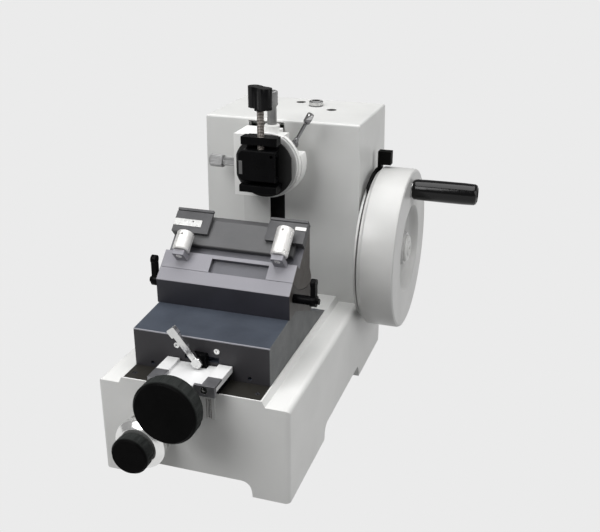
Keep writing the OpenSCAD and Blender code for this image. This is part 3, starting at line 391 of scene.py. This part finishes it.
def paint_lever_tip(n, colour):
    """Head lever: the end of its rod is brighter."""
    tip = n.above(n.along(UP), hi("head_lever").z - LEVER_TIP)
    return n.mix(tip, colour, srgb(190))


# ---------- materials ----------

ENAMEL = dict(rough=(0.34, 0.44), mottle=9.0, grain=420.0, grain_strength=0.10,
              grain_depth=0.3 * MM)
SATIN = dict(metal=0.9, mottle=50.0, grain=2400.0, grain_strength=0.12)
KNOB = dict(rough=(0.45, 0.6), spec=0.03, mottle=50.0, grain=2200.0, grain_strength=0.3,
            grain_depth=0.2 * MM)
STEEL_BARREL = dict(SATIN, rough=(0.30, 0.42))
PLATED_BARREL = dict(SATIN, rough=(0.26, 0.36), metal=0.65)
FINE_KNURL = dict(count=40, slant=60.0, depth=0.03 * MM)

# The record's slots: darker tone, lighter tone, finish.
SLOT_LOOKS = {
    "white_enamel": (rgb(0.62, 0.625, 0.61), rgb(0.70, 0.70, 0.685), ENAMEL),
    "grey_enamel": (
        rgb(0.50, 0.505, 0.495), rgb(0.58, 0.58, 0.57),
        dict(rough=(0.36, 0.46), mottle=16.0, grain=700.0)),
    "black_oxide": (
        rgb(0.0010, 0.0010, 0.0012), rgb(0.0030, 0.0030, 0.0034),
        dict(rough=(0.24, 0.36), spec=0.05, mottle=60.0, grain=2600.0, grain_strength=0.15)),
    "dark_steel": (
        rgb(0.020, 0.020, 0.023), rgb(0.036, 0.036, 0.041),
        dict(rough=(0.40, 0.52), spec=0.35, mottle=40.0, grain=2200.0, grain_strength=0.22)),
    "ground_steel": (
        rgb(0.20, 0.20, 0.21), rgb(0.32, 0.32, 0.335),
        dict(rough=(0.28, 0.44), metal=0.85, mottle=30.0, grain=900.0, grain_strength=0.3,
             grain_stretch=(0.6, 6.0, 6.0))),
    "bright_steel": (
        grey(0.62), rgb(0.74, 0.74, 0.73),
        dict(rough=(0.10, 0.22), metal=1.0, mottle=60.0, grain=3000.0, grain_strength=0.06)),
    "satin_aluminium": (
        rgb(0.52, 0.52, 0.51), rgb(0.62, 0.62, 0.61), dict(SATIN, rough=(0.28, 0.38))),
    "bronze": (
        rgb(0.36, 0.23, 0.09), rgb(0.50, 0.33, 0.14),
        dict(rough=(0.25, 0.4), metal=1.0, mottle=40.0, grain=2000.0)),
    "slide_iron": (
        rgb(0.010, 0.010, 0.011), rgb(0.022, 0.022, 0.023),
        dict(rough=(0.4, 0.55), metal=0.7, mottle=30.0, grain=1200.0, grain_strength=0.3,
             grain_stretch=(4.0, 4.0, 0.6))),
    "black_knob": (
        grey(0.0022), grey(0.0045), dict(KNOB, rough=(0.5, 0.65), spec=0.05)),
    "black_gloss": (
        rgb(0.0016, 0.0016, 0.0018), rgb(0.003, 0.003, 0.0034),
        dict(rough=(0.14, 0.20), coat=0.12, spec=0.25, mottle=30.0, grain=1200.0,
             grain_strength=0.05)),
    "rubber": (
        grey(0.014), grey(0.026),
        dict(rough=(0.7, 0.85), spec=0.3, mottle=60.0, grain=3000.0, grain_strength=0.4)),
}

# CAD nodes with a look of their own: material's name, darker tone, lighter tone, finish.
NODE_LOOKS = {
    "base_casting": ("base_enamel", rgb(0.62, 0.623, 0.61), rgb(0.70, 0.70, 0.687), ENAMEL),
    "column_housing": (
        "column_enamel", rgb(0.595, 0.60, 0.588), rgb(0.675, 0.675, 0.662),
        dict(ENAMEL, paint=paint_column)),
    "handwheel": (
        "wheel_enamel", rgb(0.51, 0.51, 0.50), rgb(0.58, 0.58, 0.57),
        dict(ENAMEL, rough=(0.30, 0.40))),
    "head_housing": (
        "head_enamel", rgb(0.80, 0.80, 0.785), rgb(0.87, 0.87, 0.855),
        dict(ENAMEL, rough=(0.30, 0.40))),
    "head_ring": (
        "ring_white", rgb(0.72, 0.72, 0.71), rgb(0.78, 0.78, 0.77),
        dict(metal=0.2, mottle=50.0, grain=2000.0)),
    "front_plate": ("plate_white", rgb(0.60, 0.605, 0.605), grey(0.68), dict(mottle=30.0)),
    "bed_plate": (
        "bed_iron", srgb(31, 30, 27), srgb(41, 39, 35),
        dict(rough=(0.28, 0.42), spec=0.4, mottle=26.0, grain=1600.0, grain_strength=0.3)),
    "accessory_socket": (
        "socket_steel", rgb(0.50, 0.50, 0.49), rgb(0.60, 0.60, 0.59),
        dict(rough=(0.24, 0.34), metal=0.5, mottle=60.0, grain=2400.0, grain_strength=0.1,
             paint=paint_socket)),
    "knife_base": (
        "stage_enamel", srgb(50, 55, 64), srgb(63, 69, 79),
        dict(rough=(0.40, 0.52), spec=0.35, mottle=22.0, grain=1500.0, grain_strength=0.35,
             grain_depth=0.3 * MM, paint=paint_stage)),
    "knife_cradle": (
        "cradle_black", srgb(33, 33, 39), srgb(42, 42, 50),
        dict(rough=(0.38, 0.5), spec=0.35, mottle=26.0, grain=1600.0, grain_strength=0.3,
             # Right side painted lighter, as painted light.
             paint=paint_holder("knife_cradle", srgb(60, 57, 55)))),
    "tilt_segment": (
        "segment_grey", srgb(84, 84, 90), srgb(98, 98, 104),
        dict(rough=(0.36, 0.48), spec=0.45, mottle=26.0, grain=1500.0, grain_strength=0.3,
             grain_stretch=(0.5, 4.0, 4.0),
             # Right side painted darker, as painted shade.
             paint=paint_holder("tilt_segment", srgb(70, 66, 63)))),
    "knife_clamps": (
        "clamp_grey", srgb(62, 62, 64), srgb(78, 78, 80),
        dict(rough=(0.36, 0.48), spec=0.4, mottle=40.0, grain=1900.0, grain_strength=0.25)),
    "knife": (
        "knife_steel", rgb(0.068, 0.068, 0.070), rgb(0.092, 0.092, 0.095),
        dict(rough=(0.34, 0.46), metal=0.2, spec=0.4, mottle=18.0, grain=1400.0,
             grain_strength=0.35, grain_stretch=(0.4, 7.0, 7.0))),
    "clamp_bars": (
        "bar_steel", rgb(0.58, 0.58, 0.57), rgb(0.68, 0.68, 0.67),
        dict(rough=(0.25, 0.35), metal=0.3, mottle=60.0, grain=2400.0, grain_strength=0.1)),
    "orientation_disc": (
        "disc_oxide", srgb(34), srgb(44),
        dict(rough=(0.34, 0.46), spec=0.12, mottle=60.0, grain=2600.0, grain_strength=0.2)),
    "wing_knob": (
        "wing_knob_black", rgb(0.0016, 0.0016, 0.0018), rgb(0.0036, 0.0036, 0.0040),
        dict(rough=(0.22, 0.34), spec=0.12, mottle=50.0, grain=1800.0, grain_strength=0.1)),
    "clamp_spindle": (
        "spindle_steel", rgb(0.56, 0.51, 0.47), rgb(0.68, 0.63, 0.58),
        dict(rough=(0.3, 0.45), metal=0.5, mottle=40.0, grain=1500.0,
             # The darker brown is painted shade in the thread's grooves.
             **threaded(UP, 1.5 * MM, srgb(42, 33, 29)))),
    "feed_screw": (
        "feed_thread", rgb(0.40, 0.40, 0.41), rgb(0.52, 0.52, 0.53),
        dict(rough=(0.25, 0.4), metal=0.9, mottle=40.0, grain=1500.0,
             # The grey is painted shade in the thread's grooves.
             **threaded(REAR, 2 * MM, srgb(70)))),
    "head_lever": (
        "lever_steel", rgb(0.16, 0.16, 0.165), rgb(0.26, 0.26, 0.265),
        dict(SATIN, rough=(0.12, 0.22), metal=0.95, paint=paint_lever_tip)),
    "graduated_drum": (
        "drum_chrome", rgb(0.80, 0.80, 0.79), rgb(0.88, 0.88, 0.87),
        dict(SATIN, rough=(0.16, 0.24), metal=0.85, grain_strength=0.06)),
}
for node in ("coarse_knob", "thickness_knob"):
    NODE_LOOKS[node] = ("knob_" + node, grey(0.0014), grey(0.0030),
                        dict(KNOB, paint=paint_knob(node)))
for node, grooves in (("swivel_screw", 34), ("tilt_screw", 30)):
    NODE_LOOKS[node] = (node, grey(0.27), grey(0.38),
                        dict(STEEL_BARREL, relief=knurl(*joint(node + "_turn"), grooves)))
for side in ("right", "left"):
    node = "knife_screw_" + side
    NODE_LOOKS[node] = (
        "screw_" + side, rgb(0.86, 0.85, 0.83), rgb(0.94, 0.93, 0.91),
        dict(PLATED_BARREL, relief=knurl(*joint(node + "_turn"), **FINE_KNURL)))

SLOT_MATS = {slot: surface(slot, dark, light, **finish)
             for slot, (dark, light, finish) in SLOT_LOOKS.items()}
NODE_MATS = {node: surface(name, dark, light, **finish)
             for node, (name, dark, light, finish) in NODE_LOOKS.items()}

for row in frame["record"]["subparts"]:
    node = row["node"]
    materials = NODES[node].data.materials
    materials.clear()
    materials.append(NODE_MATS[node] if node in NODE_MATS else SLOT_MATS[row["material_slot"]])


# ---------- edges of the CAD pieces ----------

WELD_WITHIN = 0.002 * MM
SHARP_ANGLE = math.radians(35.0)   # an edge that turns more than this is rounded
LARGE_EDGE_MM = {"base_casting": 1.2, "column_housing": 1.2, "handwheel": 0.6,
                 "head_housing": 0.8, "knife_base": 0.7, "knife_cradle": 0.5,
                 "tilt_segment": 0.4, "front_plate": 0.4}
SMALL_EDGE_MM = 0.25


def soften(obj, width, segments):
    """Rounds a piece's sharp edges a little, as casting, machining or moulding leaves them."""
    weld = obj.modifiers.new("weld", "WELD")
    weld.merge_threshold = WELD_WITHIN
    bevel = obj.modifiers.new("bevel", "BEVEL")
    bevel.width = width
    bevel.segments = segments
    bevel.limit_method = "ANGLE"
    bevel.angle_limit = SHARP_ANGLE
    bevel.harden_normals = True
    bevel.use_clamp_overlap = True


for name, obj in NODES.items():
    if name in LARGE_EDGE_MM:
        soften(obj, LARGE_EDGE_MM[name] * MM, segments=3)
    else:
        soften(obj, SMALL_EDGE_MM * MM, segments=2)


# ---------- small parts that the CAD model leaves out ----------

LINE_HEIGHT = 0.1 * MM             # of a graduation line, which stands hardly proud
FACE_FRONT = Matrix.Rotation(math.radians(90), 4, "X")   # turns a slab's +Z to the front


def add_piece(name, bm, body, material):
    """Turns a bmesh into a piece that rides on a body."""
    bmesh.ops.recalc_face_normals(bm, faces=bm.faces)
    mesh = bpy.data.meshes.new(name)
    bm.to_mesh(mesh)
    bm.free()
    mesh.materials.append(material)
    obj = bpy.data.objects.new(name, mesh)
    bpy.context.scene.collection.objects.link(obj)
    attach(obj, body)


def skin(bm, rings):
    """Closes a solid over rings of vertices, from its foot to its top."""
    sides = len(rings[0])
    for a, b in zip(rings, rings[1:]):
        for i in range(sides):
            j = (i + 1) % sides
            bm.faces.new((a[i], a[j], b[j], b[i]))
    bm.faces.new(rings[0][::-1])
    bm.faces.new(rings[-1])


def slab(bm, place, size, matrix):
    """A small bar about a place, with its outer four edges chamfered; Z is its outward side."""
    w, d, h = (v / 2 for v in size)
    chamfer = min(w, d) / 4
    rings = []
    for inset, z in ((0, -h), (0, h - chamfer / 2), (chamfer, h)):
        corners = [(x * (w - inset), y * (d - inset), z)
                   for x, y in ((-1, -1), (1, -1), (1, 1), (-1, 1))]
        rings.append([bm.verts.new(matrix @ (Vector(place) + Vector(c))) for c in corners])
    skin(bm, rings)


def socket_screw(bm, place, radius, height):
    """A cap screw's head, upright, with a chamfered rim and a hexagonal socket."""
    sides, sixth = 24, math.pi / 3
    rim_r, rim_z = 0.92 * radius, 0.8 * height
    hexagon_r, floor_z = 0.5 * radius, 0.25 * height
    mouth_r, mouth_z = 1.08 * hexagon_r, 0.94 * height

    def ring(r, z, six=False):
        out = []
        for i in range(sides):
            t = 2 * math.pi * i / sides
            k = r * math.cos(sixth / 2) / math.cos(t % sixth - sixth / 2) if six else r
            out.append(bm.verts.new(Vector(place) + Vector((k * math.cos(t), k * math.sin(t), z))))
        return out

    skin(bm, [ring(radius, 0), ring(radius, rim_z), ring(rim_r, height), ring(mouth_r, height),
              ring(hexagon_r, mouth_z, six=True), ring(hexagon_r, floor_z, six=True)])


def drum_scale():
    """Graduations round the rim of the drum, every fifth one longer."""
    count, every, sunk, from_front = 60, 5, 0.03 * MM, 5.8 * MM
    line_width, long, short = 0.28 * MM, 4.8 * MM, 3 * MM
    low, high, centre = lo("graduated_drum"), hi("graduated_drum"), mid("graduated_drum")
    start, rim = low.y + from_front, (high.x - low.x) / 2
    bm = bmesh.new()
    for i in range(count):
        length = short if i % every else long
        turn = (Matrix.Translation((centre.x, 0, centre.z))
                @ Matrix.Rotation(2 * math.pi * i / count, 4, "Y"))
        slab(bm, (0, start + length / 2, rim - sunk), (line_width, length, LINE_HEIGHT), turn)
    add_piece("drum_scale", bm, "thickness", SLOT_MATS["black_oxide"])


def bed_plate_screws():
    """Two rows of cap screws, sunk in the bed plate."""
    inset, sunk, radius, height = 6.6 * MM, 2.4 * MM, 2.5 * MM, 2 * MM
    from_front_mm = (10.4, 72.4, 134.4, 186.4)
    low, high = lo("bed_plate"), hi("bed_plate")
    bm = bmesh.new()
    for x in (low.x + inset, high.x - inset):
        for y in from_front_mm:
            socket_screw(bm, (x, low.y + y * MM, high.z - sunk), radius, height)
    add_piece("bed_plate_screws", bm, "base", SLOT_MATS["dark_steel"])


def jaw_plate():
    """A small grey plate on the front of the moving jaw, near its left edge."""
    size = (3.6 * MM, 14 * MM, 0.5 * MM)
    from_left, down, proud = 2.1 * MM, 2 * MM, 0.1 * MM
    low, centre = lo("moving_jaw"), mid("moving_jaw")
    face = Matrix.Translation((0, low.y - proud, 0)) @ FACE_FRONT
    bm = bmesh.new()
    slab(bm, (low.x + from_left, centre.z - down, 0), size, face)
    add_piece("jaw_plate", bm, "jaw",
              surface("jaw_plate", srgb(92), srgb(108), spec=0.3))


def index_lines():
    """Two upright dark lines on the index strip as painted shadow of a plate's edges, and five
    plain graduations on the right one.
    """
    proud, line_width, from_middle, margins = 0.02 * MM, 0.5 * MM, 2.2 * MM, 2.4 * MM
    ticks, first, step = 5, 5 * MM, 2.6 * MM
    tick_width, long, short = 0.18 * MM, 1.4 * MM, 0.8 * MM
    low, high, centre = lo("index_strip"), hi("index_strip"), mid("index_strip")
    face = Matrix.Translation((0, low.y - proud, 0)) @ FACE_FRONT
    bm = bmesh.new()
    # Painted shadow: these two lines stand for shaded plate edges.
    for x in (-from_middle, from_middle):
        slab(bm, (centre.x + x, centre.z, 0),
             (line_width, high.z - low.z - margins, LINE_HEIGHT), face)
    for k in range(ticks):
        length = short if k % 2 else long
        slab(bm, (centre.x + from_middle - length / 2, low.z + first + k * step, 0),
             (length, tick_width, LINE_HEIGHT), face)
    add_piece("index_lines", bm, "base",
              surface("painted_shadow_and_graduations", srgb(58, 46, 42), srgb(74, 60, 55), (0.5, 0.6), spec=0.2))


drum_scale()
bed_plate_screws()
jaw_plate()
index_lines()


# ---------- stage, light and camera ----------

PAPER_TONE = 0.831
FLOOR_SIZE, FLOOR_UNDER = 14.0, 0.5 * MM
BACKDROP_RADIUS, BACKDROP_AT = 9.0, (0, 0, 0.1)

LIGHTS_AIM = (-0.02, 0.0, 0.15)
LIGHTS = {   # name: place, size, watts
    "top_softbox": ((0.1, 0.05, 2.6), (2.4, 2.4), 67.0),
    "right_softbox": ((1.5, -0.2, 0.8), (1.0, 1.0), 8.0),
    "front_softbox": ((-0.55, -1.0, 1.15), (0.9, 0.7), 12.5),
}
WORLD_STRENGTH = 0.20

# The photograph's viewing angle, worked out from the casting's straight edges.
CAMERA_AT = (0.2475, -0.7738, 0.5013)
CAMERA_YAW, CAMERA_PITCH = 18.225, 22.219          # degrees to the left and down
CAMERA_LENS_MM, CAMERA_SENSOR_MM = 51.374, 36.0


def paper():
    """Evenly lit paper: it gives off its own tone and shows no shadow."""
    mat = bpy.data.materials.new("studio_paper")
    mat.use_nodes = True
    tree = mat.node_tree
    tree.nodes.clear()
    out = tree.nodes.new("ShaderNodeOutputMaterial")
    glow = tree.nodes.new("ShaderNodeEmission")
    glow.inputs["Color"].default_value = grey(PAPER_TONE)
    glow.inputs["Strength"].default_value = 1.0
    tree.links.new(glow.outputs["Emission"], out.inputs["Surface"])
    return mat


def stage_sheet(name, material):
    """Makes the newest object part of the paper, which doesn't light the microtome."""
    obj = bpy.context.object
    obj.name = name
    obj.data.materials.append(material)
    obj.visible_diffuse = False
    return obj


def area_light(name, place, size, watts):
    """A rectangular soft light that points at the microtome."""
    light = bpy.data.lights.new(name, "AREA")
    light.shape = "RECTANGLE"
    light.size, light.size_y = size
    light.energy = watts
    obj = bpy.data.objects.new(name, light)
    bpy.context.scene.collection.objects.link(obj)
    obj.location = place
    aim = Vector(LIGHTS_AIM) - Vector(place)
    obj.rotation_euler = aim.to_track_quat("-Z", "Y").to_euler()


studio_paper = paper()
bpy.ops.mesh.primitive_plane_add(size=FLOOR_SIZE, location=(0, 0, -FLOOR_UNDER))
stage_sheet("floor", studio_paper)
bpy.ops.mesh.primitive_uv_sphere_add(segments=48, ring_count=24, radius=BACKDROP_RADIUS,
                                     location=BACKDROP_AT)
backdrop = stage_sheet("backdrop", studio_paper)
backdrop.visible_glossy = False
backdrop.visible_shadow = False

for name, (place, size, watts) in LIGHTS.items():
    area_light(name, place, size, watts)

world = bpy.data.worlds.new("studio")
world.use_nodes = True
background = world.node_tree.nodes["Background"]
background.inputs["Color"].default_value = grey(1.0)
background.inputs["Strength"].default_value = WORLD_STRENGTH
bpy.context.scene.world = world

lens = bpy.data.cameras.new("camera")
lens.lens = CAMERA_LENS_MM
lens.sensor_width = CAMERA_SENSOR_MM
lens.clip_start = 10 * MM
camera = bpy.data.objects.new("camera", lens)
bpy.context.scene.collection.objects.link(camera)
camera.location = CAMERA_AT
camera.rotation_euler = (math.radians(90 - CAMERA_PITCH), 0, math.radians(CAMERA_YAW))
bpy.context.scene.camera = camera
bpy.context.scene.view_settings.view_transform = "Standard"
bpy.context.scene.view_settings.look = "None"
